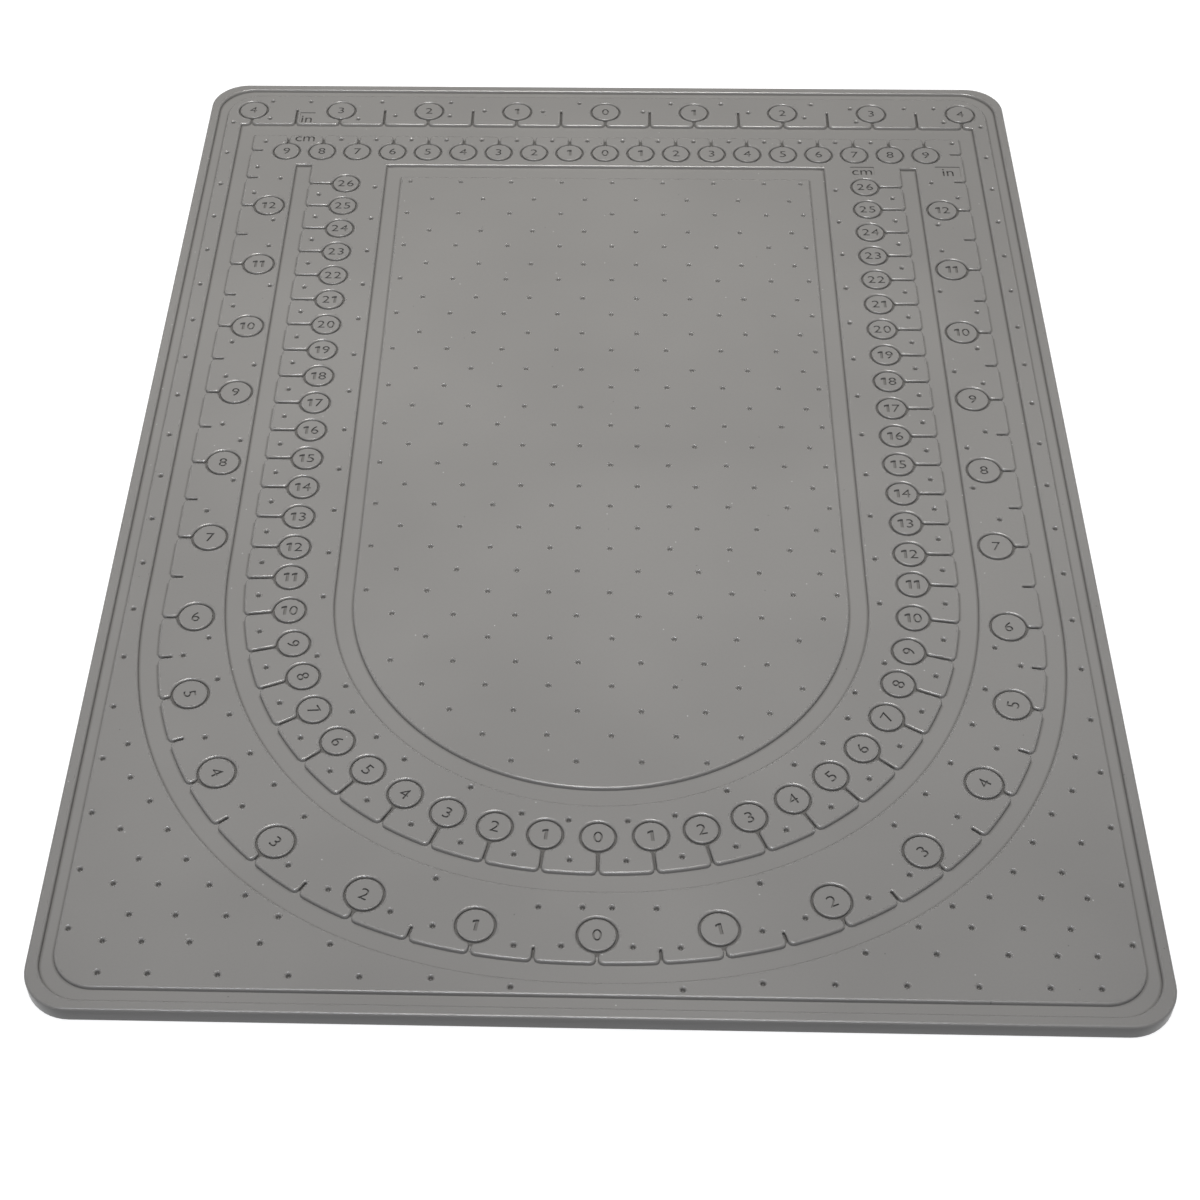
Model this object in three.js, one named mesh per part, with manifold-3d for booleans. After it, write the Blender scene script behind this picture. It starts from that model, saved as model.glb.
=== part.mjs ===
// A flexible bead mat: one thin rubber moulding with a rim, three bead channels and ruler ticks.
// Millimetres, +Z up. +Y points to the far end with the straight scales, -Y to the round end.
// The origin lies under the middle of the mat, on the surface that it rests on.
// The sheet bends anywhere along its length, so it is divided by straight cuts into panels.
// Neighbouring panels touch face to face, and each pair turns about the top edge of the cut between them.
import * as THREE from 'three';
import { mergeVertices } from 'three/addons/utils/BufferGeometryUtils.js';
import Module from 'manifold-3d';

const wasm = await Module();
wasm.setup();

// The sheet
const WIDTH = 228;
const LENGTH = 313;
const THICKNESS = 4;
const RELIEF = 0.9; // depth of every channel and tick below the top face
const CORNER_RADIUS = 10;

// The raised rim and the moat inside it
const RIM_WIDTH = 2.5;
const RIM_INNER_RADIUS = 9.5;
const MOAT_WIDTH = 2.7;
const LAND_RADIUS = 9;

// The bead channels, along the sides and round bottoms, and across the far end
const CHANNEL_WIDTH = 4.4;
const CROSS_CHANNEL_WIDTH = 5.4;

// The bands between the channels: at the sides, at the far end and at the near end
const SIDE_BAND = 4.35;
const INCH_BAND = 13.4;
const CM_BAND = 21.1;
const FAR_INCH_BAND = 13.9;
const FAR_CM_BAND = 13.7;
const NEAR_BAND = 3.1;
const NEAR_INCH_BAND = 17.3;
const NEAR_CM_BAND = 17.5;

// The round bottoms: how far each rises to its straight sides, and how full it is (2 is an ellipse)
const INCH_RISE = 96;
const INCH_FULLNESS = 2.26;
const CM_RISE = 87.2;
const CM_FULLNESS = 2.2;
const CENTRE_RISE = 55.5;
const CENTRE_FULLNESS = 2;

// The ruler marks: true on the straight runs, and a little wider apart round the bottom and at its bends
const HALF_INCH = 12.7;
const HALF_INCH_ROUND_STEP = 12.93;
const HALF_INCH_ROUND_MARKS = 4;
const HALF_INCH_SIDE_MARKS = 6;
const HALF_INCH_BEND_STEP = 12.25;
const HALF_INCH_BEND_MARKS = 2;
const CENTIMETRE = 10;
const CENTIMETRE_ROUND_STEP = 12.03;
const CENTIMETRE_ROUND_MARKS = 7;
const CENTIMETRE_BEND_STEP = 11.45;
const CENTIMETRE_BEND_MARKS = 4;
const TICK_WIDTH = 0.8;
const INCH_TICK = 3.2;
const CM_TICK = 6;
const FAR_INCH_TICK = 2.5;
const FAR_HALF_INCH_TICK = 7;
const FAR_CM_TICK = 3.6;
const LAST_MARK_MARGIN = 4; // least distance from the last mark to the end of its run

// The flexing panels: short ones at both ends, and equal ones between them
const END_PANEL = 17;
const PANELS_EACH_WAY = 5;

// How finely the round shapes are cut, and how far the cutting solids stand clear
const CORNER_SEGMENTS = 8;
const ROUND_STEPS = 28;
const CLEAR = 1;

const RUBBER_COLOUR = 0x8d8b86;
const RUBBER_ROUGHNESS = 0.55;

// Walls of the channels, worked out from the outside in
const landHalfWidth = WIDTH / 2 - RIM_WIDTH - MOAT_WIDTH;
const landHalfLength = LENGTH / 2 - RIM_WIDTH - MOAT_WIDTH;

const inchHalfWidth = landHalfWidth - SIDE_BAND - CHANNEL_WIDTH;
const inchTop = landHalfLength - FAR_INCH_BAND - CROSS_CHANNEL_WIDTH;
const inchBottom = -landHalfLength + NEAR_BAND + CHANNEL_WIDTH;

const cmHalfWidth = inchHalfWidth - INCH_BAND - CHANNEL_WIDTH;
const cmTop = inchTop - FAR_CM_BAND;
const cmBottom = inchBottom + NEAR_INCH_BAND + CHANNEL_WIDTH;

const centreHalfWidth = cmHalfWidth - CM_BAND - CHANNEL_WIDTH;
const centreTop = cmTop - CROSS_CHANNEL_WIDTH;
const centreBottom = cmBottom + NEAR_CM_BAND + CHANNEL_WIDTH;

// The right half of a channel's inner wall, from the middle of the round bottom up to its top end
class HalfWall extends THREE.Curve {
  constructor(halfWidth, bottom, top, rise, fullness) {
    super();
    this.halfWidth = halfWidth;
    this.startY = bottom + rise;
    this.top = top;
    this.rise = rise;
    this.power = 2 / fullness;
    this.arcLengthDivisions = 600;
  }

  getPoint(t, target = new THREE.Vector2()) {
    if (t >= 0.5) {
      return target.set(this.halfWidth, THREE.MathUtils.lerp(this.startY, this.top, 2 * t - 1));
    }
    const angle = Math.PI * t;
    const x = this.halfWidth * Math.sin(angle) ** this.power;
    const y = this.startY - this.rise * Math.cos(angle) ** this.power;
    return target.set(x, y);
  }

  // A place on the wall by its distance from the bottom, with the direction to the inside of the loop
  placeAt(distance) {
    const u = distance / this.getLength();
    const tangent = this.getTangentAt(u);
    return { point: this.getPointAt(u), inward: new THREE.Vector2(-tangent.y, tangent.x) };
  }
}

const inchWall = new HalfWall(inchHalfWidth, inchBottom, inchTop, INCH_RISE, INCH_FULLNESS);
const cmWall = new HalfWall(cmHalfWidth, cmBottom, cmTop, CM_RISE, CM_FULLNESS);
const centreWall = new HalfWall(centreHalfWidth, centreBottom, centreTop, CENTRE_RISE, CENTRE_FULLNESS);

const mirrored = (point) => new THREE.Vector2(-point.x, point.y);

// The whole wall at a distance outside the inner one, from its right top end round to its left top end
function wallOutline(wall, offset, top) {
  const right = [];
  for (let i = 0; i <= ROUND_STEPS; i += 1) {
    const t = i / ROUND_STEPS / 2;
    const point = wall.getPoint(t);
    const tangent = i === 0 ? new THREE.Vector2(1, 0) : wall.getTangent(t);
    right.push(new THREE.Vector2(point.x + tangent.y * offset, point.y - tangent.x * offset));
  }
  right.push(new THREE.Vector2(wall.halfWidth + offset, top));
  const left = right.slice(1).map(mirrored);
  return [...right.reverse(), ...left];
}

function roundedRectangle(halfWidth, halfLength, radius) {
  const x = halfWidth - radius;
  const y = halfLength - radius;
  const quarter = Math.PI / 2;
  return new THREE.Shape()
    .absarc(x, y, radius, 0, quarter)
    .absarc(-x, y, radius, quarter, 2 * quarter)
    .absarc(-x, -y, radius, 2 * quarter, 3 * quarter)
    .absarc(x, -y, radius, 3 * quarter, 4 * quarter);
}

function solidFrom(geometry) {
  geometry.deleteAttribute('normal');
  geometry.deleteAttribute('uv');
  const merged = mergeVertices(geometry);
  const vertProperties = new Float32Array(merged.attributes.position.array);
  const triVerts = new Uint32Array(merged.index.array);
  return new wasm.Manifold(new wasm.Mesh({ numProp: 3, vertProperties, triVerts }));
}

function prism(shape, bottom, top) {
  const settings = { depth: top - bottom, bevelEnabled: false, curveSegments: CORNER_SEGMENTS };
  return solidFrom(new THREE.ExtrudeGeometry(shape, settings).translate(0, 0, bottom));
}

// A cutting solid for relief in the top face
const groove = (shape) => prism(shape, THICKNESS - RELIEF, THICKNESS + CLEAR);

// The groove between an outer outline and the land inside it
const grooveAround = (land, outline) => groove(outline).subtract(prism(land, 0, THICKNESS + 2 * CLEAR));

function moat() {
  const outline = roundedRectangle(WIDTH / 2 - RIM_WIDTH, LENGTH / 2 - RIM_WIDTH, RIM_INNER_RADIUS);
  const land = roundedRectangle(landHalfWidth, landHalfLength, LAND_RADIUS);
  return grooveAround(land, outline);
}

// A channel that closes on itself across the far end
function loopChannel(wall) {
  const outline = wallOutline(wall, CHANNEL_WIDTH, wall.top + CROSS_CHANNEL_WIDTH);
  const land = wallOutline(wall, 0, wall.top);
  return grooveAround(new THREE.Shape(land), new THREE.Shape(outline));
}

// A channel that ends square at both tops
function openChannel(wall) {
  const outer = wallOutline(wall, CHANNEL_WIDTH, wall.top);
  const inner = wallOutline(wall, 0, wall.top).reverse();
  return groove(new THREE.Shape([...outer, ...inner]));
}

// A tick that opens into a channel at a point of its wall
function tick(point, inward, length) {
  const side = new THREE.Vector2(-inward.y, inward.x).multiplyScalar(TICK_WIDTH / 2);
  const root = point.clone().addScaledVector(inward, -CHANNEL_WIDTH / 2);
  const tip = point.clone().addScaledVector(inward, length);
  const corners = [
    root.clone().sub(side),
    tip.clone().sub(side),
    tip.clone().add(side),
    root.clone().add(side),
  ];
  return groove(new THREE.Shape(corners));
}

// The ticks along both halves of a wall, counted from the middle of its round bottom. Each leg round the
// bottom has its own step and number of marks; the straight run above them has the plain step.
function wallTicks(wall, length, step, legs) {
  const distances = [0];
  const lastDistance = wall.getLength() - LAST_MARK_MARGIN;
  for (const { legStep, marks } of [...legs, { legStep: step, marks: Infinity }]) {
    for (let mark = 0; mark < marks && distances.at(-1) + legStep <= lastDistance; mark += 1) {
      distances.push(distances.at(-1) + legStep);
    }
  }
  const ticks = [];
  for (const distance of distances) {
    const { point, inward } = wall.placeAt(distance);
    ticks.push(tick(point, inward, length));
    if (distance > 0) {
      ticks.push(tick(mirrored(point), mirrored(inward), length));
    }
  }
  return ticks;
}

// The ticks of a straight scale across the far end; every second one may have another length
function crossTicks(y, halfRun, step, inward, lengths) {
  const ticks = [];
  const reach = Math.floor((halfRun - TICK_WIDTH) / step);
  for (let mark = -reach; mark <= reach; mark += 1) {
    const length = lengths[Math.abs(mark) % lengths.length];
    ticks.push(tick(new THREE.Vector2(mark * step, y), inward, length));
  }
  return ticks;
}

function mat() {
  const sheet = prism(roundedRectangle(WIDTH / 2, LENGTH / 2, CORNER_RADIUS), 0, THICKNESS);
  const far = new THREE.Vector2(0, 1);
  const near = new THREE.Vector2(0, -1);
  const farTicks = [FAR_INCH_TICK, FAR_HALF_INCH_TICK];
  const inchLegs = [
    { legStep: HALF_INCH_ROUND_STEP, marks: HALF_INCH_ROUND_MARKS },
    { legStep: HALF_INCH, marks: HALF_INCH_SIDE_MARKS },
    { legStep: HALF_INCH_BEND_STEP, marks: HALF_INCH_BEND_MARKS },
  ];
  const cmLegs = [
    { legStep: CENTIMETRE_ROUND_STEP, marks: CENTIMETRE_ROUND_MARKS },
    { legStep: CENTIMETRE_BEND_STEP, marks: CENTIMETRE_BEND_MARKS },
  ];
  const grooves = [
    moat(),
    loopChannel(inchWall),
    openChannel(cmWall),
    loopChannel(centreWall),
    ...wallTicks(inchWall, INCH_TICK, HALF_INCH, inchLegs),
    ...wallTicks(cmWall, CM_TICK, CENTIMETRE, cmLegs),
    ...crossTicks(inchTop + CROSS_CHANNEL_WIDTH, inchHalfWidth + CHANNEL_WIDTH, HALF_INCH, far, farTicks),
    ...crossTicks(inchTop, inchHalfWidth, CENTIMETRE, near, [FAR_CM_TICK]),
  ];
  return grooves.reduce((solid, cut) => solid.subtract(cut), sheet);
}

// The part of the mat between two cuts across it
function panelBetween(whole, nearY, farY) {
  const block = new THREE.BoxGeometry(WIDTH + 2 * CLEAR, farY - nearY, THICKNESS + 2 * CLEAR);
  block.translate(0, (nearY + farY) / 2, THICKNESS / 2);
  return whole.intersect(solidFrom(block));
}

function meshOf(name, solid) {
  const { vertProperties, triVerts } = solid.getMesh();
  const geometry = new THREE.BufferGeometry();
  geometry.setAttribute('position', new THREE.BufferAttribute(vertProperties, 3));
  geometry.setIndex(new THREE.BufferAttribute(triVerts, 1));
  geometry.computeVertexNormals();
  const settings = { color: RUBBER_COLOUR, roughness: RUBBER_ROUGHNESS, metalness: 0 };
  const mesh = new THREE.Mesh(geometry, new THREE.MeshStandardMaterial(settings));
  mesh.name = name;
  return mesh;
}

function panelName(place) {
  if (place === 0) {
    return 'panel_middle';
  }
  return place > 0 ? `panel_far_${place}` : `panel_near_${-place}`;
}

const beadMat = new THREE.Group();
const wholeMat = mat();
const panelPitch = (LENGTH - 2 * END_PANEL) / (2 * PANELS_EACH_WAY - 1);
const beyondEnds = LENGTH / 2 + CLEAR;
for (let place = -PANELS_EACH_WAY; place <= PANELS_EACH_WAY; place += 1) {
  const nearY = place === -PANELS_EACH_WAY ? -beyondEnds : (place - 0.5) * panelPitch;
  const farY = place === PANELS_EACH_WAY ? beyondEnds : (place + 0.5) * panelPitch;
  beadMat.add(meshOf(panelName(place), panelBetween(wholeMat, nearY, farY)));
}

export default beadMat;
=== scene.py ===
"""A grey rubber bead mat: rim, moat, three bead channels, ruler ticks, numbered rings and dimples.

The mat is one moulding. It is shown as ten pieces that meet without a step at straight lines across it,
and each piece lies across one of the hinge lines of the frame. Lengths here are millimetres until a piece
is finished, and +Y points to the far end with the straight scales.
"""
import math

import bmesh
import bpy
import numpy as np
from mathutils import Euler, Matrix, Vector
from mathutils.geometry import delaunay_2d_cdt
from mathutils.kdtree import KDTree


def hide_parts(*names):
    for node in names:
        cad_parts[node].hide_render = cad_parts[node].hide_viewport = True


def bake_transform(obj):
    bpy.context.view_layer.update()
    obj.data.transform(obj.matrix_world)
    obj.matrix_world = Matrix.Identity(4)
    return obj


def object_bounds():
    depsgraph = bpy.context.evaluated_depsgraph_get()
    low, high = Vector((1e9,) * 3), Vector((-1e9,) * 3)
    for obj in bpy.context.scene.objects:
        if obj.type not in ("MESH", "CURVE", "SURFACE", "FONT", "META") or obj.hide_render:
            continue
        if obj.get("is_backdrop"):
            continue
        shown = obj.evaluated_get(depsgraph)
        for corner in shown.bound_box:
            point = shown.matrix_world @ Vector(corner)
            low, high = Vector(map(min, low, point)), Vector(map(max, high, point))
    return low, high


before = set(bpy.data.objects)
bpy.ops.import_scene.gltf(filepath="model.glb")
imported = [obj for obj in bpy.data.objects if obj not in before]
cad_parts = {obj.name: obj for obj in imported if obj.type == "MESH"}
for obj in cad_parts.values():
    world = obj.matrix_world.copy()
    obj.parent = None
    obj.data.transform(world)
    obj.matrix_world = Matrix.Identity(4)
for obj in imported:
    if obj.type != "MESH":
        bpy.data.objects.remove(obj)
cad_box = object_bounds()

MM = 0.001

# The sheet
HALF_WIDTH, HALF_LENGTH, TOP = (side / MM for side in cad_box[1])
CORNER_RADIUS = 10
RIM_WIDTH = 2.5
RIM_INNER_RADIUS = 9.5
MOAT_WIDTH = 2.7
LAND_RADIUS = 9
RELIEF = 0.9

# The channels: inner walls as half width, bottom, top, rise of the round part and its fullness
CHANNEL_WIDTH = 4.4
CROSS_CHANNEL_WIDTH = 5.4
INCH_WALL = (100.05, -143.8, 132.0, 96.0, 2.26)
CM_WALL = (82.25, -122.1, 118.3, 87.2, 2.2)
CENTRE_WALL = (56.75, -100.2, 112.9, 55.5, 2.0)

# The ruler marks: true on the straight runs; legs give the step and number of marks round the bottom
HALF_INCH = 12.7
HALF_INCH_LEGS = ((12.93, 4), (12.7, 6), (12.25, 2))
CENTIMETRE = 10
CENTIMETRE_LEGS = ((12.03, 7), (11.45, 4))
LAST_HALF_INCH = 26
LAST_INCH_RING = 12
LAST_CENTIMETRE = 26
FAR_LAST_INCH = 4
FAR_LAST_CENTIMETRE = 9
TICK_HALF_WIDTH = 0.25
TICK_LENGTH = 3.2
FAR_TICK_LENGTH = 7
MOUTH = 1.3
RING_MOUTH = 0.8

# The numbered rings: middle radius of the groove, and how far its centre lies inside the wall
GROOVE_WIDTH = 0.42
RING_DEPTH = 0.7
INCH_RING = (4.03, 7.8)
INCH_ROUND_RING = (4.03, 6.7)
CM_RING = (3.67, 10.35)
CM_ROUND_RING = (3.67, 9.2)
FAR_INCH_RING = (4.0, 6.65)
FAR_CM_RING = (3.67, 7.55)
RING_SIDES = 32
FIRST_SIDE_INCH = 6
FIRST_SIDE_CENTIMETRE = 8
FIRST_UPRIGHT_CENTIMETRE = 10

# The numbers
NUMBER_SIZE = 3.95
NUMBER_STRETCH = 1.12
NUMBER_DEPTH = 0.65
# How dark the painted shade is on the floors of the numbers' strokes
NUMBER_PAINTED_SHADE = 0.55
NUMBER_HEIGHT = 0.69
WIDE_STEP = 0.56
NARROW_STEP = 0.42
ONE_SHIFT = 0.04
LABEL_SIZE = 5.0
LABEL_PANEL_DEPTH = 0.35
FIGURE_WEIGHT = 0.022
LABEL_WEIGHT = 0.05
# How dark the painted shade is on the floors of the unit labels' strokes
LABEL_PAINTED_SHADE = 1.0

# The unit labels: text, middle of its foot, and its panel as left, right, near and far side
UNIT_LABELS = (
    ("in", (-85.9, 138.6), (-87.9, -83.6, 138.1, 143.0)),
    ("cm", (-85.3, 129.0), None),
    ("cm", (71.7, 115.4), (68.4, 75.0, 115.1, 118.8)),
    ("in", (95.5, 115.3), (92.0, 98.9, 114.3, 119.1)),
)

# The dimples: radius, rounded edge, depth and painted shade in their hollows; those of the centre field are
# softer
DIMPLE = (0.48, 0.36, 0.95, 0.8)
CENTRE_DIMPLE = (0.52, 0.22, 0.6, 0.8)
DIMPLE_STRIP = 0.08
DIMPLE_SIDES = 12

# The steps down into a dimple: outwards and down as shares of its edge, then of its radius and depth
DIMPLE_MOUTH = ((1, 0), (0.8, 0.07), (0.2, 0.55), (0, 1))
DIMPLE_FLOOR = ((0.84, 0.85), (0.64, 1), (0, 0.5))

# The centre field's dimples: two rows by turns, each with its first place and the step to the next such row;
# the last pairs are shifted a little, every first row has one more at its end, and all keep clear of the wall
CENTRE_ROWS = (((-54, 110.7), 14.04), ((-47.5, 103), 14))
CENTRE_PAIRS, CENTRE_ACROSS, CENTRE_STEP = 15, 8, 14.02
LAST_UNSHIFTED_PAIR, PAIR_SHIFT = 11, 0.6
CENTRE_ROW_END = 54.2
CENTRE_CLEARANCE = 2.3

# The other rows of dimples: number, first place and step along; and how far those between marks lie inside
CENTRE_SIDE_ROW = (12, (63.7, 108), 14)
BORDER_ROW = (20, (106.8, 138), 14.5)
FAR_CM_ROW = (8, (5, 130.1), 10)
BETWEEN_MARKS_INSET = 3.2

# Rounded edges, wall draft and the narrow flat strips that keep the broad faces flat
LAND_EDGE = 0.42
TICK_EDGE = 0.38
RING_EDGE = 0.46
DISC_EDGE = 0.18
RIM_EDGE = 0.5
UNDER_EDGE = 0.45
FLAT_STRIP = 0.12
DRAFT = 0.06
FLOOR_STRIP = 0.05

# How deep the painted shade starts in the engraved lines and dimples, and over what depth it grows to its
# full strength
PAINTED_SHADE_START = 0.22
PAINTED_SHADE_DEPTH = 0.25

# The steps round a rounded edge, in degrees, each with the share of its line's painted shade that it holds
EDGE_STEPS = ((0, 0), (30, 0), (60, 0.3), (90, 0.8))

# The steps round the edges of the rim, of the underside and of the discs inside the rings, in degrees
RIM_STEPS = (0, 22.5, 45, 67.5, 90)
UNDER_STEPS = (90, 60, 30, 0)
DISC_STEPS = (45, 90)

# The painted shade along the feet of the long walls, and the strips of floor beside walls and marks
SIDE_PAINTED_SHADE = 0.7
SIDE_STRIP = 0.5
MARK_STRIP = 0.02

# How finely the lines are divided
WALL_STEP = 2.5
FIELD_STEP = 5.0
ROUND_POINTS = 700
CORNER_POINTS = 13

# The lines across the mat where its pieces meet, halfway between the hinge lines
PIECE_LENGTH = 31
PIECES_EACH_WAY = 5
BEND_LENGTH = 16

# How close points are welded, in the whole mesh and in one turned shape, how close they count as one in an
# outline and in its triangles, the slack of a cut, and the angle in degrees past which an edge is sharp
WELD = 0.003
SHAPE_WELD = 0.002
SAME_POINT = 1e-6
SAME_CORNER = 1e-7
CUT_SLACK = 1e-4
SHARP_ANGLE = 50

# Colours of the rubber, of the dust on it, and of the painted shade in its grooves, dimples and tiny pits
RUBBER_LIGHT = (0.284, 0.2765, 0.263)
RUBBER_DARK = (0.260, 0.253, 0.241)
RUBBER_GRAIN = (0.22, 0.215, 0.206)
DUST = (0.62, 0.62, 0.6)
# The painted shade of tiny pits, as dark specks
PIT_SHADE_COLOUR = (0.07, 0.07, 0.07)
# The colour of the painted shade in grooves, dimples, letter floors and at the feet of the long walls
PAINTED_SHADE_COLOUR = (0.07, 0.066, 0.06)

# The finish: its noises' scales to a metre, the range of each that counts, and how strongly each thing shows
CLOUD_SCALE, FLOW_SCALE, GRAIN_SCALE = 14, 60, 2600
CLOUD_RANGE, FLOW_RANGE, GRAIN_RANGE = (0.3, 0.7), (0.35, 0.7), (0.35, 0.75)
FLOW_STRETCH = (0.25, 1, 1)
FLOW_SHOWS, GRAIN_SHOWS = 0.25, 0.12
# How strongly the painted shade in the grooves, the dust and the painted shade of tiny pits show
PAINTED_SHADE_SHOWS, DUST_SHOWS, PIT_SHADE_SHOWS = 0.75, 0.55, 0.5

# The satin of the rubber and of its worn edges, how far each thing changes it, and the bumps of the grain
SATIN, EDGE_SATIN = 0.32, 0.22
GRAIN_ROUGHENS, CLOUDS_ROUGHEN, EDGES_SMOOTH, DUST_ROUGHENS = 0.12, 0.05, 0.08, 0.2
BUMP_STRENGTH, BUMP_HEIGHT = 0.12, 0.00006
REFRACTION, SPECULAR = 1.5, 0.3

# The shine of the worn edges: how far below the top it grows, and how far below it fades out again
SHINE_GROWS = (0.3, 0.2)
SHINE_FADES = (0.04, 0.005)

# Specks: how many cells to a metre, the radius of a speck in metres, and the share of cells with one
DUST_SPECKS = (70, 0.00016, 0.35)
# Dark specks painted as the shade inside tiny pits
PIT_SHADE_SPECKS = (55, 0.00014, 0.3)

# The photograph's viewpoint: sensor and lens in millimetres, place and clipping in metres, turn in degrees
SENSOR_WIDTH, LENS, LENS_SHIFT = 36, 65.22, 0.05
NEAREST, FARTHEST = 0.01, 50
CAMERA_PLACE = (-0.0011, -0.38174, 0.37176)
CAMERA_TURN = (42.381, 0.616, 1.502)

# The softboxes: size, place and aim in metres, power in watts, spread in degrees, and colour
OVERHEAD_SOFTBOX = ((0.35, 0.35), (0, 0, 1.0), (-0.035, 0.12, 0), 1.09, 64, (1.0, 0.98, 0.945))
FRONT_SOFTBOX = ((0.7, 0.08), (-0.1, -0.55, 0.95), (-0.03, -0.03, 0), 0.47, 60, (0.94, 0.98, 1.08))
ROUND_LIGHT_COLOUR, ROUND_LIGHT = (0.95, 0.97, 1.06, 1), 0.13

# The floor: half its width in metres, how pale it is for light and for the eye, and its glow
FLOOR_REACH = 3
FLOOR_PLAIN, FLOOR_PALE, FLOOR_GLOW = 0.2, 0.35, 0.85


def turned_left(direction):
    return np.stack([-direction[..., 1], direction[..., 0]], -1)


class Run:
    """A line of points that can be walked by distance."""

    def __init__(self, points):
        self.points = np.asarray(points, float)
        steps = np.linalg.norm(np.diff(self.points, axis=0), axis=1)
        self.distance = np.concatenate([[0.0], np.cumsum(steps)])
        self.length = self.distance[-1]

    def at(self, distance):
        columns = [np.interp(distance, self.distance, self.points[:, k]) for k in (0, 1)]
        return np.stack(columns, -1)

    def heading(self, distance, reach=0.3):
        ahead = self.at(min(distance + reach, self.length)) - self.at(max(distance - reach, 0))
        return ahead / np.linalg.norm(ahead)

    def between(self, start, end):
        count = max(1, math.ceil((end - start) / WALL_STEP))
        return self.at(np.linspace(start, end, count + 1))

    def reversed(self):
        return Run(self.points[::-1])


def u_wall(wall, offset=0.0, top=None):
    """A channel wall from its left top end, down round the bottom and up to its right top end."""
    half_width, bottom, own_top, rise, fullness = wall
    angle = np.linspace(0, math.pi / 2, ROUND_POINTS)
    x = half_width * np.sin(angle) ** (2 / fullness)
    y = bottom + rise - rise * np.cos(angle) ** (2 / fullness)
    right = np.stack([x, y], -1)
    ahead = np.gradient(right, axis=0)
    ahead /= np.linalg.norm(ahead, axis=1)[:, None]
    ahead[0], ahead[-1] = (1, 0), (0, 1)
    right = right - turned_left(ahead) * offset
    right = np.vstack([right, [half_width + offset, own_top if top is None else top]])
    left = right[:0:-1] * (-1, 1)
    return Run(np.vstack([left, right]))


def rounded_rectangle(half_width, half_length, radius):
    """Its outline anticlockwise, with points along the straight sides too."""
    points = []
    for quarter, (sx, sy) in enumerate(((1, 1), (-1, 1), (-1, -1), (1, -1))):
        angle = np.linspace(quarter, quarter + 1, CORNER_POINTS) * math.pi / 2
        centre = np.array([sx * (half_width - radius), sy * (half_length - radius)])
        points.append(centre + radius * np.stack([np.cos(angle), np.sin(angle)], -1))
    outline = np.vstack(points + [points[0][:1]])
    corners = Run(outline)
    spots = []
    for start, end in zip(corners.distance[:-1], corners.distance[1:]):
        spots.append(corners.between(start, end)[:-1])
    return np.vstack(spots)


def bow(start, corner, end, count=5):
    """Points inside a curve that rounds a corner."""
    t = np.linspace(0, 1, count + 1)[1:-1, None]
    return (1 - t) ** 2 * np.asarray(start) + 2 * t * (1 - t) * np.asarray(corner) + t**2 * np.asarray(end)


# A row of an outline is x, y and one of these: edge radius, depth of the groove beside it, share of the
# full foot width, painted shade, and the strip of floor at its foot
WALL = (LAND_EDGE, RELIEF, 1.0, 0.0, SIDE_STRIP)
TICK_MOUTH = (LAND_EDGE, RELIEF, 1.0, 0.0, MARK_STRIP)
# Ticks and rings are darkened with painted shade in their grooves
TICK = (TICK_EDGE, RELIEF, 0.6, 1.0, MARK_STRIP)
RING = (RING_EDGE, RING_DEPTH, 0.4, 0.9, MARK_STRIP)


def rows_of(points, style):
    points = np.atleast_2d(points)
    return np.hstack([points, np.tile(style, (len(points), 1))])


class Mark:
    """A ruler mark at a distance along a run: a plain tick, or a tick that leads into a ring."""

    def __init__(self, distance, number, tick=None, ring=None):
        self.distance = distance
        self.number = number
        self.tick = tick
        self.ring = ring

    def half_outline(self):
        """The near side of the groove from the wall to its far end: x along the wall, y into the land."""
        h = TICK_HALF_WIDTH
        rows = [
            rows_of(bow((-h - MOUTH, 0), (-h, 0), (-h, MOUTH)), TICK_MOUTH),
            rows_of((-h, MOUTH), TICK),
        ]
        if self.ring is None:
            angle = np.linspace(math.pi, math.pi / 2, 4)
            end = np.stack([h * np.cos(angle), self.tick - h + h * np.sin(angle)], -1)
            rows.append(rows_of(end, TICK))
            return np.vstack(rows)
        middle, centre = self.ring
        radius = middle + GROOVE_WIDTH / 2
        meet = centre - math.sqrt(radius**2 - h**2)
        turn = math.asin(h / radius) + RING_MOUTH / radius
        angle = np.linspace(-math.pi / 2 - turn, -1.5 * math.pi, RING_SIDES // 2)
        round_points = np.stack([radius * np.cos(angle), centre + radius * np.sin(angle)], -1)
        rows.append(rows_of((-h, meet - RING_MOUTH), RING))
        rows.append(rows_of(bow((-h, meet - RING_MOUTH), (-h, meet), round_points[0], 4), RING))
        rows.append(rows_of(round_points, RING))
        return np.vstack(rows)

    def outline(self, run):
        half = self.half_outline()
        rows = np.vstack([half, half[-2::-1] * (-1, 1, 1, 1, 1, 1, 1)])
        ahead = run.heading(self.distance)
        inward = turned_left(ahead)
        rows[:, :2] = run.at(self.distance) + rows[:, :1] * ahead + rows[:, 1:2] * inward
        return rows

    def centre(self, run):
        return run.at(self.distance) + self.ring[1] * turned_left(run.heading(self.distance))


def walk(run, marks=()):
    """An outline along a run, with the land on its left and a groove into the land at each mark."""
    rows, here = [], 0.0
    reach = TICK_HALF_WIDTH + MOUTH
    for mark in sorted(marks, key=lambda m: m.distance):
        rows.append(rows_of(run.between(here, mark.distance - reach), WALL))
        rows.append(mark.outline(run))
        here = mark.distance + reach
    rows.append(rows_of(run.between(here, run.length), WALL))
    return np.vstack(rows)


def closed(*parts):
    """One closed outline from parts whose ends meet."""
    rows = np.vstack(parts)
    step = np.linalg.norm(rows[:, :2] - np.roll(rows[:, :2], 1, axis=0), axis=1)
    return rows[step > SAME_POINT]


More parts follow.
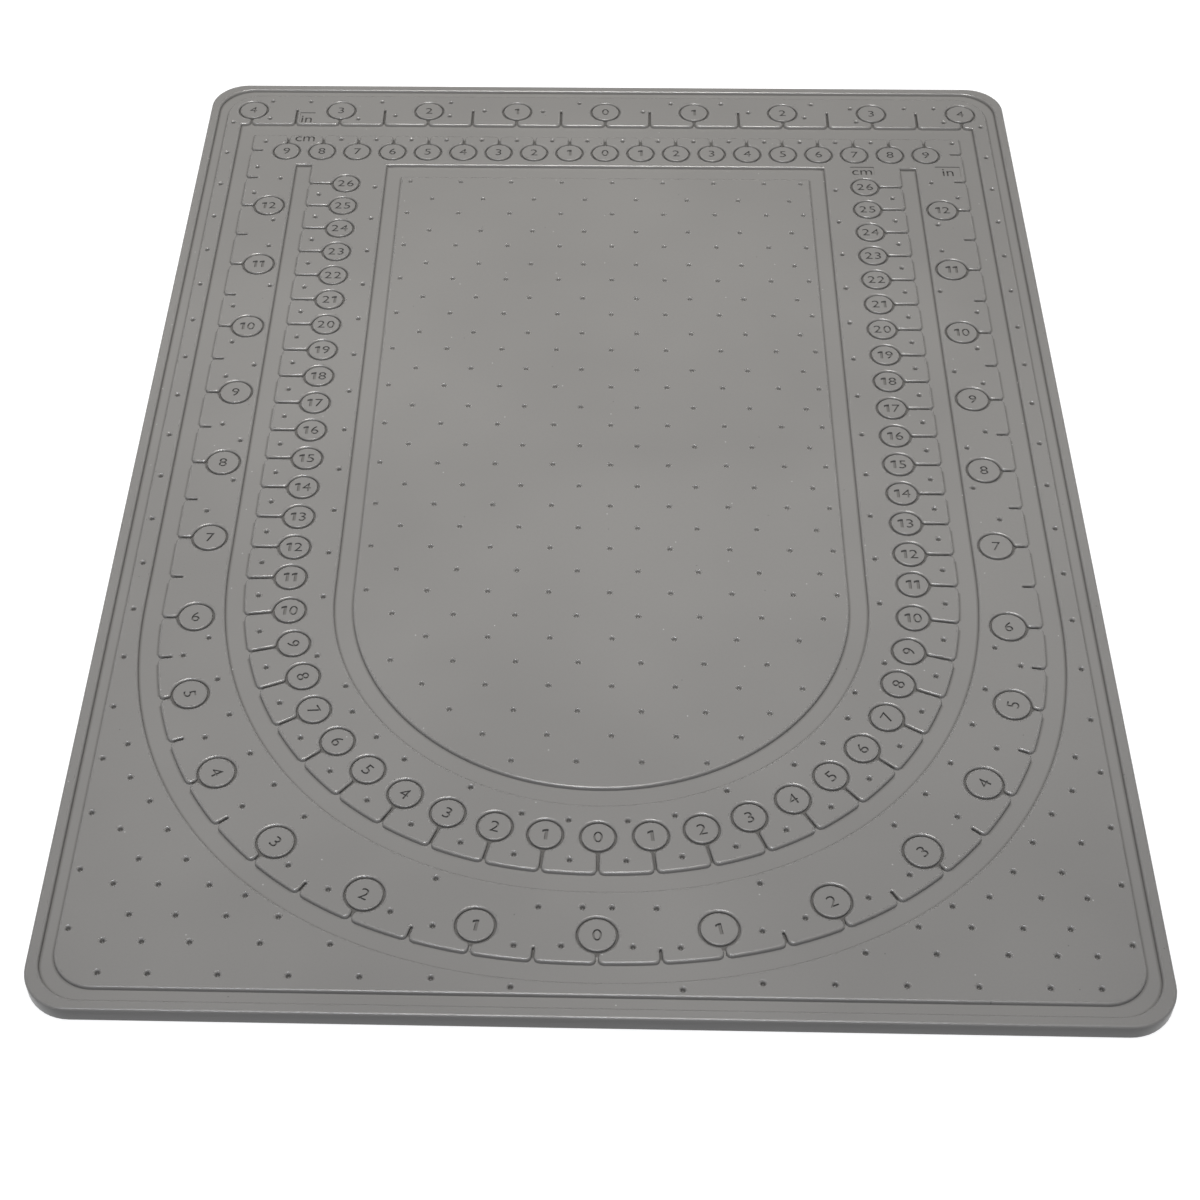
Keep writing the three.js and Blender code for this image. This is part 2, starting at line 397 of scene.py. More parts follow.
def mitre(points):
    """At each point of a closed outline, the step to the left that moves both its sides by one."""
    ahead = np.roll(points, -1, axis=0) - points
    ahead /= np.linalg.norm(ahead, axis=1)[:, None]
    after = turned_left(ahead)
    before = np.roll(after, 1, axis=0)
    share = 1 + (after * before).sum(1)
    return (after + before) / share[:, None]


def wall_loops(rows):
    """From the flat land over its rounded edge, down the wall and to the floor, one loop for each step, with
    its painted shade.
    """
    points, (edge, depth, width, grime, strip) = rows[:, :2], rows[:, 2:].T
    into_land = mitre(points)
    floor = TOP - depth
    # Painted shade at the foot of a wall: along the long walls it grows the more lengthways they run, and at
    # the marks it is the groove's own
    lengthways = np.clip(np.abs(into_land[:, 0]), 0, 1)
    painted_shade_at_foot = np.where(strip > MARK_STRIP, SIDE_PAINTED_SHADE * lengthways, grime)
    steps = [(edge + FLAT_STRIP, TOP + 0 * edge, 0 * grime)]
    for degrees, share in EDGE_STEPS:
        angle = math.radians(degrees)
        steps.append((edge * (1 - math.sin(angle)), TOP - edge * (1 - math.cos(angle)), share * grime))
    steps.append((-DRAFT * width, floor, painted_shade_at_foot))
    steps.append((-(DRAFT + FLOOR_STRIP) * width, floor, painted_shade_at_foot))
    steps.append((-(DRAFT + FLOOR_STRIP) * width - strip, floor, grime))
    return [np.column_stack([points + into_land * out[:, None], z, step_painted_shade]) for out, z, step_painted_shade in steps]


def rim_loops(points):
    """Round the outside of the sheet, from its top over the edge and down to its underside."""
    into_sheet = mitre(points)
    steps = [(RIM_EDGE + FLAT_STRIP, TOP)]
    for angle in np.radians(RIM_STEPS):
        steps.append((RIM_EDGE * (1 - math.sin(angle)), TOP - RIM_EDGE * (1 - math.cos(angle))))
    for angle in np.radians(UNDER_STEPS):
        steps.append((UNDER_EDGE * (1 - math.sin(angle)), UNDER_EDGE * (1 - math.cos(angle))))
    steps.append((UNDER_EDGE + FLAT_STRIP, 0))
    # No painted shade round the outside of the sheet
    no_painted_shade = np.zeros(len(points))
    return [np.column_stack([points + into_sheet * out, no_painted_shade + z, no_painted_shade]) for out, z in steps]


class Signal:
    """A socket of a node tree; sums and products of signals add Math nodes."""

    def __init__(self, graph, socket):
        self.graph = graph
        self.socket = socket

    def math(self, operation, *values):
        return self.graph.node("ShaderNodeMath", {"operation": operation}, dict(enumerate(values)))["Value"]

    def __add__(self, other):
        return self.math("ADD", self, other)

    def __sub__(self, other):
        return self.math("SUBTRACT", self, other)

    def __rsub__(self, other):
        return self.math("SUBTRACT", other, self)

    def __mul__(self, other):
        return self.math("MULTIPLY", self, other)

    def __lt__(self, other):
        return self.math("LESS_THAN", self, other)

    __radd__ = __add__
    __rmul__ = __mul__


class Made:
    """A node that was made; its outputs are taken by name."""

    def __init__(self, graph, node):
        self.graph = graph
        self.node = node

    def __getitem__(self, name):
        return Signal(self.graph, self.node.outputs[name])


class Graph:
    """A node tree, with one method that makes any node in it."""

    def __init__(self, tree):
        self.tree = tree

    def node(self, kind, settings=None, inputs=None):
        node = self.tree.nodes.new(kind)
        for name, value in (settings or {}).items():
            if name == "items":
                while len(node.index_switch_items) < value:
                    node.index_switch_items.new()
            else:
                setattr(node, name, value)
        for name, value in (inputs or {}).items():
            if isinstance(value, Signal):
                self.tree.links.new(value.socket, node.inputs[name])
            else:
                node.inputs[name].default_value = value
        return Made(self, node)


def turned_shapes(name, profile, sizes, sides, places, rubber):
    """A mesh with one turned shape at each place, all alike; profile gives its radius and height steps."""
    tree = bpy.data.node_groups.new(name, "GeometryNodeTree")
    graph = Graph(tree)
    tree.interface.new_socket("Places", in_out="INPUT", socket_type="NodeSocketGeometry")
    ids = {}
    for size in sizes:
        ids[size] = tree.interface.new_socket(size, in_out="INPUT", socket_type="NodeSocketFloat").identifier
    ids["Sides"] = tree.interface.new_socket("Sides", in_out="INPUT", socket_type="NodeSocketInt").identifier
    ids["Rubber"] = tree.interface.new_socket(
        "Rubber", in_out="INPUT", socket_type="NodeSocketMaterial").identifier
    tree.interface.new_socket("Shapes", in_out="OUTPUT", socket_type="NodeSocketGeometry")

    given = graph.node("NodeGroupInput")
    steps = profile(*(given[size] for size in sizes))
    corners = {}
    for k, (radius, height) in enumerate(steps):
        corner = graph.node("ShaderNodeCombineXYZ", None, {"X": radius - 1, "Y": 0 - height})
        corners[str(k)] = corner["Vector"]
    row = graph.node("GeometryNodeMeshLine", {"mode": "OFFSET"}, {"Count": len(steps)})
    line = graph.node("GeometryNodeMeshToCurve", None, {"Mesh": row["Mesh"]})
    pick = graph.node(
        "GeometryNodeIndexSwitch",
        {"data_type": "VECTOR", "items": len(steps)},
        {"Index": graph.node("GeometryNodeInputIndex")["Index"], **corners},
    )
    section = graph.node(
        "GeometryNodeSetPosition", None, {"Geometry": line["Curve"], "Position": pick["Output"]})
    circle = graph.node(
        "GeometryNodeCurvePrimitiveCircle", {"mode": "RADIUS"}, {"Resolution": given["Sides"], "Radius": 1.0})
    swept = graph.node(
        "GeometryNodeCurveToMesh", None, {"Curve": circle["Curve"], "Profile Curve": section["Geometry"]})
    shape = graph.node(
        "GeometryNodeMergeByDistance", None, {"Geometry": swept["Mesh"], "Distance": SHAPE_WELD})
    placed = graph.node(
        "GeometryNodeInstanceOnPoints", None, {"Points": given["Places"], "Instance": shape["Geometry"]})
    real = graph.node("GeometryNodeRealizeInstances", None, {"Geometry": placed["Instances"]})
    finished = graph.node(
        "GeometryNodeSetMaterial", None, {"Geometry": real["Geometry"], "Material": given["Rubber"]})
    graph.node("NodeGroupOutput", None, {"Shapes": finished["Geometry"]})

    mesh = bpy.data.meshes.new(name)
    mesh.from_pydata([(x, y, 0) for x, y in places], [], [])
    holder = bpy.data.objects.new(name, mesh)
    bpy.context.scene.collection.objects.link(holder)
    modifier = holder.modifiers.new(name, "NODES")
    modifier.node_group = tree
    for size, value in {**sizes, "Sides": sides, "Rubber": rubber}.items():
        modifier[ids[size]] = value
    seen = holder.evaluated_get(bpy.context.evaluated_depsgraph_get())
    made = bpy.data.meshes.new_from_object(seen)
    bpy.data.objects.remove(holder)
    return made


def disc_profile(radius, edge, depth):
    """The disc inside a ring groove: its flat top, rounded edge, wall and the groove's floor."""
    width = RING[2]
    steps = [(radius - edge - FLAT_STRIP, edge * 0), (radius - edge, edge * 0)]
    for angle in np.radians(DISC_STEPS):
        lean, fall = 1 - math.sin(angle), 1 - math.cos(angle)
        steps.append((radius - edge * lean, edge * -fall))
    steps.append((radius + DRAFT * width, depth * -1))
    steps.append((radius + (DRAFT + FLOOR_STRIP) * width, depth * -1))
    return steps


def dimple_profile(radius, edge, depth):
    """A dimple: the flat strip round its mouth, rounded edge, wall, and floor with a raised middle."""
    steps = [(radius + edge + DIMPLE_STRIP, depth * 0)]
    steps += [(radius + edge * out, edge * -down) for out, down in DIMPLE_MOUTH]
    return steps + [(radius * share, depth * -down) for share, down in DIMPLE_FLOOR]


def circle(centre, radius, sides):
    angle = np.arange(sides) * 2 * math.pi / sides
    return np.asarray(centre) + radius * np.stack([np.cos(angle), np.sin(angle)], -1)


# A plain one without a foot, as the corners of its outline
ONE = ((-0.07, 0), (0.09, 0), (0.09, 0.69), (-0.03, 0.69), (-0.2, 0.61), (-0.2, 0.46), (-0.07, 0.52))


def letter_loops(text, weight):
    """Outlines of letters or a figure, of size one, from the plain built-in lettering."""
    if text == "1":
        return [np.array(ONE)]
    curve = bpy.data.curves.new("letters", "FONT")
    curve.body = text
    curve.align_x = "CENTER"
    curve.resolution_u = 4
    curve.fill_mode = "NONE"
    curve.offset = weight
    holder = bpy.data.objects.new("letters", curve)
    bpy.context.scene.collection.objects.link(holder)
    seen = holder.evaluated_get(bpy.context.evaluated_depsgraph_get())
    mesh = bpy.data.meshes.new_from_object(seen)
    outlines = bmesh.new()
    outlines.from_mesh(mesh)
    loops, left = [], set(outlines.verts)
    while left:
        start = min(left, key=lambda v: v.index)
        loop, vert, edge = [start], start, start.link_edges[0]
        while edge.other_vert(vert) is not start:
            vert = edge.other_vert(vert)
            loop.append(vert)
            edge = next(e for e in vert.link_edges if e is not edge)
        left -= set(loop)
        loops.append(np.array([v.co[:2] for v in loop]))
    outlines.free()
    bpy.data.objects.remove(holder)
    bpy.data.meshes.remove(mesh)
    return loops


FIGURES = {text: letter_loops(text, FIGURE_WEIGHT) for text in "0123456789"}
LABELS = {text: letter_loops(text, LABEL_WEIGHT) for text in ("in", "cm")}


def number_loops(number):
    """Outlines of a number about its own middle, of size one."""
    widths = [NARROW_STEP if figure == "1" else WIDE_STEP for figure in str(number)]
    here, loops = -sum(widths) / 2, []
    for figure, width in zip(str(number), widths):
        shift = np.array([here + width / 2 + (ONE_SHIFT if figure == "1" else 0), -NUMBER_HEIGHT / 2])
        loops += [(loop + shift) * (NUMBER_STRETCH, 1) for loop in FIGURES[figure]]
        here += width
    return loops


def set_at(loops, place, size, turn=0.0):
    c, s = math.cos(turn), math.sin(turn)
    spin = np.array([[c, s], [-s, c]])
    return [size * loop @ spin + place for loop in loops]


class Relief:
    """The mat's mesh as it grows: its points and faces, and the loops that bound its flat faces."""

    def __init__(self):
        self.points = []
        self.faces = []
        self.top_loops = []
        self.floor_loops = []
        self.panels = []
        self.letters = []
        # The painted shade that the floor under each letter point gets
        self.grime_below = {}

    def add_points(self, points):
        """Points as x, y, z and painted shade; gives their numbers."""
        first = len(self.points)
        self.points += np.asarray(points, float).tolist()
        return list(range(first, len(self.points)))

    def add_strips(self, loops):
        """Faces between loops of equal length; gives the point numbers of the first and last loop."""
        rings = [self.add_points(loop) for loop in loops]
        for upper, lower in zip(rings, rings[1:]):
            quads = np.stack([upper, lower, np.roll(lower, -1), np.roll(upper, -1)], -1)
            self.faces += quads.tolist()
        return rings[0], rings[-1]

    def add_wall(self, rows):
        upper, lower = self.add_strips(wall_loops(rows))
        self.top_loops.append(upper)
        self.floor_loops.append(lower)

    def add_mesh(self, mesh, lift, most_painted_shade):
        points = np.empty(len(mesh.vertices) * 3)
        mesh.vertices.foreach_get("co", points)
        points = points.reshape(-1, 3)
        # Painted shade darkens the turned shapes below a set depth
        grime = np.clip((-PAINTED_SHADE_START - points[:, 2:]) / PAINTED_SHADE_DEPTH, 0, 1) * most_painted_shade
        numbers = self.add_points(np.hstack([points + (0, 0, lift), grime]))
        self.faces += [[numbers[v] for v in face.vertices] for face in mesh.polygons]
        bpy.data.meshes.remove(mesh)

    def add_loop(self, points, z, grime=0.0):
        return self.add_points([(x, y, z, grime) for x, y in points])

    def add_field(self, loops, z):
        """Spare points in a grid, clear of the loops, so that the broad faces can bend."""
        taken = KDTree(sum(map(len, loops)))
        for number in (number for loop in loops for number in loop):
            taken.insert((*self.points[number][:2], 0), number)
        taken.balance()
        spots = []
        for x in np.arange(-HALF_WIDTH + FIELD_STEP, HALF_WIDTH, FIELD_STEP):
            for y in np.arange(-HALF_LENGTH + FIELD_STEP, HALF_LENGTH, FIELD_STEP):
                if taken.find((x, y, 0))[2] > FIELD_STEP / 2:
                    spots.append((x, y, z, 0))
        return self.add_points(spots)

    def triangles(self, loops, loose=()):
        """Delaunay triangles over loops of points; each comes with the loops that hold it."""
        numbers = [number for loop in loops for number in loop] + list(loose)
        local = {number: k for k, number in enumerate(numbers)}
        flat = [self.points[number][:2] for number in numbers]
        rings = []
        for loop in loops:
            ring = [local[number] for number in loop]
            x, y = np.array([flat[k] for k in ring]).T
            area = np.sum(x * np.roll(y, -1) - y * np.roll(x, -1))
            rings.append(ring if area > 0 else ring[::-1])
        _, _, faces, sources, _, holders = delaunay_2d_cdt(flat, [], rings, 0, SAME_CORNER, True)
        own = [numbers[source[0]] for source in sources]
        return [([own[v] for v in face], held) for face, held in zip(faces, holders)]

    def sink(self, number, drop, sunk):
        """The point under a point at that drop, made once."""
        if drop == 0:
            return number
        if (number, drop) not in sunk:
            x, y, z, _ = self.points[number]
            # Painted shade only on the floors of letters and numbers, not on the panels
            grime = self.grime_below.get(number, 0.0) if drop > LABEL_PANEL_DEPTH else 0.0
            sunk[number, drop] = self.add_points([(x, y, z - drop, grime)])[0]
        return sunk[number, drop]

    def fill_top(self):
        """The flat tops, with the label panels and the letters and numbers sunk into them."""
        letters = [loop for loop, _, _ in self.letters]
        loops = self.top_loops + self.panels + letters
        panel_start, letter_start = len(self.top_loops), len(self.top_loops) + len(self.panels)
        sunk = {}
        for face, held in self.triangles(loops, self.add_field(loops, TOP)):
            if sum(k < panel_start for k in held) % 2 == 0:
                continue
            drop = LABEL_PANEL_DEPTH * (sum(panel_start <= k < letter_start for k in held) % 2)
            drop += NUMBER_DEPTH * (sum(k >= letter_start for k in held) % 2)
            self.faces.append([self.sink(number, drop, sunk) for number in face])
        steps = [(loop, 0, LABEL_PANEL_DEPTH) for loop in self.panels] + self.letters
        for loop, above, below in steps:
            upper = [self.sink(number, above, sunk) for number in loop]
            lower = [self.sink(number, below, sunk) for number in loop]
            quads = np.stack([upper, lower, np.roll(lower, -1), np.roll(upper, -1)], -1)
            self.faces += quads.tolist()

    def fill_floor(self):
        for face, held in self.triangles(self.floor_loops):
            if len(held) % 2:
                self.faces.append(face)

    def fill_underside(self, loop):
        for face, held in self.triangles([loop], self.add_field([loop], 0)):
            if held:
                self.faces.append(face[::-1])

    def engrave(self, loops, grime, panel=0.0):
        """Letters or a number; a loop inside another one bounds the land inside a figure."""
        for loop in loops:
            inner = any(holds(other, loop[0]) for other in loops if other is not loop)
            drops = (panel, panel + NUMBER_DEPTH)
            numbers = self.add_loop(loop, TOP)
            # Painted shade for the floors under this loop
            self.grime_below.update(dict.fromkeys(numbers, grime))
            self.letters.append((numbers, *(drops[::-1] if inner else drops)))


def holds(loop, point):
    """Whether a loop holds a point."""
    x, y = loop.T
    nx, ny = np.roll(x, -1), np.roll(y, -1)
    crosses = (y > point[1]) != (ny > point[1])
    with np.errstate(divide="ignore", invalid="ignore"):
        side = point[0] < (nx - x) * (point[1] - y) / (ny - y) + x
    return np.count_nonzero(crosses & side) % 2 == 1


def half_width_at(wall, y):
    """Half the width of the land inside a channel wall at a line across it."""
    half_width, bottom, _, rise, fullness = wall
    fall = np.clip((bottom + rise - y) / rise, 0, 1)
    return half_width * (1 - fall**fullness) ** (1 / fullness)


def spaced(step, legs=()):
    """A rule that says how far a mark lies from the middle of its run."""
    def distance_of(mark):
        distance = 0.0
        for leg_step, count in legs:
            distance += min(mark, count) * leg_step
            mark = max(mark - count, 0)
        return distance + mark * step
    return distance_of


centimetre_distance = spaced(CENTIMETRE, CENTIMETRE_LEGS)


def across(y, *xs):
    """The same places on both sides of the middle."""
    return [(side * x, y) for x in xs for side in (-1, 1)]


def side_row(count, first, step):
    """A row of places down each side."""
    x, y = first
    return [spot for k in range(count) for spot in across(y - step * k, x)]


def centre_dimples():
    """Two rows by turns over the whole centre field, as far as its wall allows."""
    places = []
    for pair in range(CENTRE_PAIRS):
        shift = PAIR_SHIFT if pair > LAST_UNSHIFTED_PAIR else 0
        first, second = (
            [(x + shift + CENTRE_STEP * k, y - step * pair) for k in range(CENTRE_ACROSS)]
            for (x, y), step in CENTRE_ROWS
        )
        places += first + [(CENTRE_ROW_END, first[0][1])] + second
    return [(x, y) for x, y in places if abs(x) < half_width_at(CENTRE_WALL, y) - CENTRE_CLEARANCE]


def cm_band_dimples(cm_wall):
    """A row beside the centre channel, one dimple between each two centimetre marks, and a far row."""
    places = side_row(*CENTRE_SIDE_ROW)
    for x, y in ((63.4, -64), (56.2, -72.7), (54.1, -80), (48.3, -87), (41.8, -93), (27.2, -100.3),
                 (16.1, -107), (6.2, -108.6)):
        places += across(y, x)
    for n in range(LAST_CENTIMETRE):
        for side in (-1, 1):
            spot = cm_wall.length / 2 + side * centimetre_distance(n + 0.5)
            places.append(cm_wall.at(spot) + BETWEEN_MARKS_INSET * turned_left(cm_wall.heading(spot)))
    count, (x, y), step = FAR_CM_ROW
    return places + across(y, *(x + step * k for k in range(count)))


def inch_band_dimples():
    """Loose ones beside the inch rings, alike on both sides except at the far corners."""
    places = [(-97.4, 116.9), (-96.4, 128.9), (97.9, 130)]
    sides = ((111.8, 90.4), (105.1, 97), (93.1, 90.4), (81.9, 90.4), (65.1, 88.25), (56.7, 97), (42.4, 95.5),
             (33.6, 88.8), (29.2, 95.5), (11.5, 94.1), (5.7, 89), (-8.2, 89), (-18.7, 94.1), (-59, 88.4),
             (-64.3, 93.5), (-71.2, 84.9), (-81.3, 81), (-87.8, 85.5), (-92, 75.2), (-100.4, 69.1),
             (-106.2, 75.2), (-108.7, 61.8), (-121.2, 63.9), (-123.9, 33.2), (-127, 55.1), (-130.5, 12, 3),
             (-132.2, 42), (-135.5, 33.2), (-139.8, 16.7, 7.2))
    for y, *xs in sides:
        places += across(y, *xs)
    return places


def far_band_dimples():
    """Loose ones round the far inch scale."""
    rows = ((148.3, -85.4, -64.7, -44.7, -7.5, 18.8, 33.3, 59.2), (144.2, -34.8, -18, 10.8, 41),
            (140, -96.4, -71, 71.6, 96.5), (148.4, -96.4), (141.7, -60.4, -44.7), (141.9, 57), (146.4, 70.3),
            (146.6, 85.8), (146.7, 94.3))
    return [(x, y) for y, *xs in rows for x in xs]


def border_dimples():
    """A row down each side, and rows that fill the near corners."""
    places = side_row(*BORDER_ROW)
    rows = ((-89.9, 102), (-99, 100.1), (-105.2, 95), (-112.6, 100.1, 90.1), (-120.1, 95.1, 85.2),
            (-126.4, 99.4, 90.1, 79.6), (-128.8, 71.9), (-133.9, 95, 85.5, 75.2, 64.6),
            (-140.3, 99.4, 91.5, 81.8, 67.6, 53.5), (-147.8, 99.2, 89.2, 75.2, 61.1, 47, 32.8), (-149.55, 17))
    for y, *xs in rows:
        places += across(y, *xs)
    return places


def both_ways(run, count, distance_of, mark_of):
    """Marks on both sides of the middle of a run, each with its number."""
    marks = []
    for number in range(count + 1):
        for side in (-1, 1) if number else (1,):
            marks.append(mark_of(run.length / 2 + side * distance_of(number), number))
    return marks


def centimetre_mark(round_ring, ring):
    """Centimetre marks: a ring at each, closer to the wall round the bottom."""
    def mark_of(distance, number):
        return Mark(distance, number, ring=round_ring if number < FIRST_SIDE_CENTIMETRE else ring)
    return mark_of


def inch_mark(last, tick, round_ring, ring):
    """Half-inch marks: a ring at each whole inch up to the last numbered one, and else a plain tick."""
    def mark_of(distance, number):
        if number % 2 == 0 and number // 2 <= last:
            return Mark(distance, number // 2, ring=round_ring if number // 2 < FIRST_SIDE_INCH else ring)
        return Mark(distance, number, tick=tick)
    return mark_of


def add_rim(relief):
    """The outside of the sheet, the rim and the moat inside it; gives the loop round the underside."""
    outside = rounded_rectangle(HALF_WIDTH, HALF_LENGTH, CORNER_RADIUS)
    top, under = relief.add_strips(rim_loops(outside))
    relief.top_loops.append(top)
    rim_inside = rounded_rectangle(HALF_WIDTH - RIM_WIDTH, HALF_LENGTH - RIM_WIDTH, RIM_INNER_RADIUS)
    relief.add_wall(rows_of(rim_inside[::-1], WALL))
    inset = RIM_WIDTH + MOAT_WIDTH
    land = rounded_rectangle(HALF_WIDTH - inset, HALF_LENGTH - inset, LAND_RADIUS)
    relief.add_wall(rows_of(land, WALL))
    return under


def add_channels(relief):
    """The three channels with their ruler marks.

    Gives the centimetre wall, the marks of each run, and the number from which those of a run stand upright.
    """
    # The inch channel, with the straight inch scale beyond it and both other scales inside it
    half, far = INCH_WALL[0] + CHANNEL_WIDTH, INCH_WALL[2] + CROSS_CHANNEL_WIDTH
    inch_outside = u_wall(INCH_WALL, CHANNEL_WIDTH, far).reversed()
    far_inches = Run([(-half, far), (half, far)])
    inch_inside = u_wall(INCH_WALL)
    far_centimetres = Run([(INCH_WALL[0], INCH_WALL[2]), (-INCH_WALL[0], INCH_WALL[2])])
    cm_inside = u_wall(CM_WALL)
    far_inch_mark = inch_mark(FAR_LAST_INCH, FAR_TICK_LENGTH, FAR_INCH_RING, FAR_INCH_RING)
    far_cm_mark = centimetre_mark(FAR_CM_RING, FAR_CM_RING)
    side_inch_mark = inch_mark(LAST_INCH_RING, TICK_LENGTH, INCH_ROUND_RING, INCH_RING)
    side_cm_mark = centimetre_mark(CM_ROUND_RING, CM_RING)
    half_inch_distance = spaced(HALF_INCH, HALF_INCH_LEGS)
    marks = {
        far_inches: both_ways(far_inches, 2 * FAR_LAST_INCH, spaced(HALF_INCH), far_inch_mark),
        far_centimetres: both_ways(far_centimetres, FAR_LAST_CENTIMETRE, spaced(CENTIMETRE), far_cm_mark),
        inch_inside: both_ways(inch_inside, LAST_HALF_INCH, half_inch_distance, side_inch_mark),
        cm_inside: both_ways(cm_inside, LAST_CENTIMETRE, centimetre_distance, side_cm_mark),
    }
    relief.add_wall(closed(walk(inch_outside), walk(far_inches, marks[far_inches])))
    inside = walk(far_centimetres, marks[far_centimetres]), walk(inch_inside, marks[inch_inside])
    relief.add_wall(closed(*inside))

    # The centimetre channel, which is open at both ends
    cm_outside = u_wall(CM_WALL, CHANNEL_WIDTH).reversed()
    relief.add_wall(closed(walk(cm_inside, marks[cm_inside]), walk(cm_outside)))

    # The channel round the centre field
    half, far = CENTRE_WALL[0] + CHANNEL_WIDTH, CENTRE_WALL[2] + CROSS_CHANNEL_WIDTH
    centre_outside = u_wall(CENTRE_WALL, CHANNEL_WIDTH, far).reversed()
    relief.add_wall(closed(walk(centre_outside), walk(Run([(-half, far), (half, far)]))))
    half, far = CENTRE_WALL[0], CENTRE_WALL[2]
    relief.add_wall(closed(walk(u_wall(CENTRE_WALL)), walk(Run([(half, far), (-half, far)]))))
    leaning = {inch_inside: FIRST_SIDE_INCH, cm_inside: FIRST_UPRIGHT_CENTIMETRE}
    return cm_inside, marks, leaning


def add_discs(relief, marks, leaning, rubber):
    """The discs inside the rings, with their numbers, which lean with the wall round the bottom."""
    discs = {}
    for run, own_marks in marks.items():
        for mark in (mark for mark in own_marks if mark.ring):
            place = mark.centre(run)
            discs.setdefault(mark.ring[0], []).append(place)
            ahead = run.heading(mark.distance)
            turn = math.atan2(ahead[1], ahead[0]) if mark.number < leaning.get(run, 0) else 0.0
            relief.engrave(set_at(number_loops(mark.number), place, NUMBER_SIZE, turn), NUMBER_PAINTED_SHADE)
    _, depth, width, grime, _ = RING
    foot = (DRAFT + FLOOR_STRIP) * width
    for middle, places in discs.items():
        radius = middle - GROOVE_WIDTH / 2
        sizes = {"Disc Radius": radius, "Edge": DISC_EDGE, "Groove Depth": depth}
        shapes = turned_shapes("ring_discs", disc_profile, sizes, RING_SIDES, places, rubber)
        # Painted shade in the ring grooves, on the turned walls and the floor loops
        relief.add_mesh(shapes, TOP, grime)
        for place in places:
            rim = circle(place, radius - DISC_EDGE - FLAT_STRIP, RING_SIDES)
            relief.top_loops.append(relief.add_loop(rim, TOP))
            groove = circle(place, radius + foot, RING_SIDES)
            relief.floor_loops.append(relief.add_loop(groove, TOP - depth, grime))


def add_labels(relief):
    """The unit labels, most of them on shallow panels."""
    for text, place, panel_sides in UNIT_LABELS:
        loops = set_at(LABELS[text], np.array(place), LABEL_SIZE)
        relief.engrave(loops, LABEL_PAINTED_SHADE, LABEL_PANEL_DEPTH if panel_sides else 0.0)
        if panel_sides:
            left, right, low, high = panel_sides
            corners = [(left, low), (right, low), (right, high), (left, high)]
            relief.panels.append(relief.add_loop(corners, TOP))


def add_dimples(relief, cm_wall, rubber):
    """All the dimples, as turned shapes that are let into the top."""
    elsewhere = cm_band_dimples(cm_wall) + inch_band_dimples() + far_band_dimples() + border_dimples()
    for places, (radius, edge, depth, grime) in ((centre_dimples(), CENTRE_DIMPLE), (elsewhere, DIMPLE)):
        sizes = {"Mouth Radius": radius, "Edge": edge, "Depth": depth}
        shapes = turned_shapes("dimples", dimple_profile, sizes, DIMPLE_SIDES, places, rubber)
        # Painted shade darkens the dimples' hollows
        relief.add_mesh(shapes, TOP, grime)
        for place in places:
            mouth = circle(place, radius + edge + DIMPLE_STRIP, DIMPLE_SIDES)
            relief.top_loops.append(relief.add_loop(mouth, TOP))


def build_relief(rubber):
    """The whole mat as points and faces."""
    relief = Relief()
    under = add_rim(relief)
    cm_wall, marks, leaning = add_channels(relief)
    add_discs(relief, marks, leaning, rubber)
    add_labels(relief)
    add_dimples(relief, cm_wall, rubber)
    relief.fill_top()
    relief.fill_floor()
    relief.fill_underside(under)
    return relief


def whole_mesh(relief):
    """The mat as one closed mesh with its faces outwards."""
    mesh = bpy.data.meshes.new("whole_mat")
    points = np.array(relief.points)
    mesh.from_pydata(points[:, :3], [], relief.faces)
    # The painted shade of each point, kept as an attribute that the material reads
    grime = mesh.attributes.new("grime", "FLOAT", "POINT")
    grime.data.foreach_set("value", points[:, 3].astype(np.float32))
    whole = bmesh.new()
    whole.from_mesh(mesh)
    bpy.data.meshes.remove(mesh)
    bmesh.ops.remove_doubles(whole, verts=whole.verts, dist=WELD)
    spare = [v for v in whole.verts if not v.link_faces]
    bmesh.ops.delete(whole, geom=spare, context="VERTS")
    bmesh.ops.recalc_face_normals(whole, faces=whole.faces)
    return whole


def piece_between(whole, name, near, far, rubber):
    """The part of the mat between two lines across it, closed at the cuts, as an object in metres."""
    part = whole.copy()
    for y, outward in ((near, -1), (far, 1)):
        if abs(y) > HALF_LENGTH:
            continue
        everything = part.verts[:] + part.edges[:] + part.faces[:]
        cut = bmesh.ops.bisect_plane(
            part, geom=everything, dist=CUT_SLACK, plane_co=(0, y, 0), plane_no=(0, outward, 0),
            clear_outer=True)
        open_edges = [e for e in cut["geom_cut"] if isinstance(e, bmesh.types.BMEdge) and e.is_boundary]
        caps = bmesh.ops.holes_fill(part, edges=open_edges)["faces"]
        bmesh.ops.triangulate(part, faces=caps)
    bmesh.ops.recalc_face_normals(part, faces=part.faces)
    bmesh.ops.scale(part, vec=(MM, MM, MM), verts=part.verts)
    for face in part.faces:
        face.smooth = True
    mesh = bpy.data.meshes.new(name)
    part.to_mesh(mesh)
    part.free()
    mesh.set_sharp_from_angle(angle=math.radians(SHARP_ANGLE))
    mesh.materials.clear()
    mesh.materials.append(rubber)
    places = np.empty(len(mesh.vertices) * 3, np.float32)
    mesh.vertices.foreach_get("co", places)
    mesh.attributes.new("flat_place", "FLOAT_VECTOR", "POINT").data.foreach_set("vector", places)
    piece = bpy.data.objects.new(name, mesh)
    bpy.context.scene.collection.objects.link(piece)
    return piece


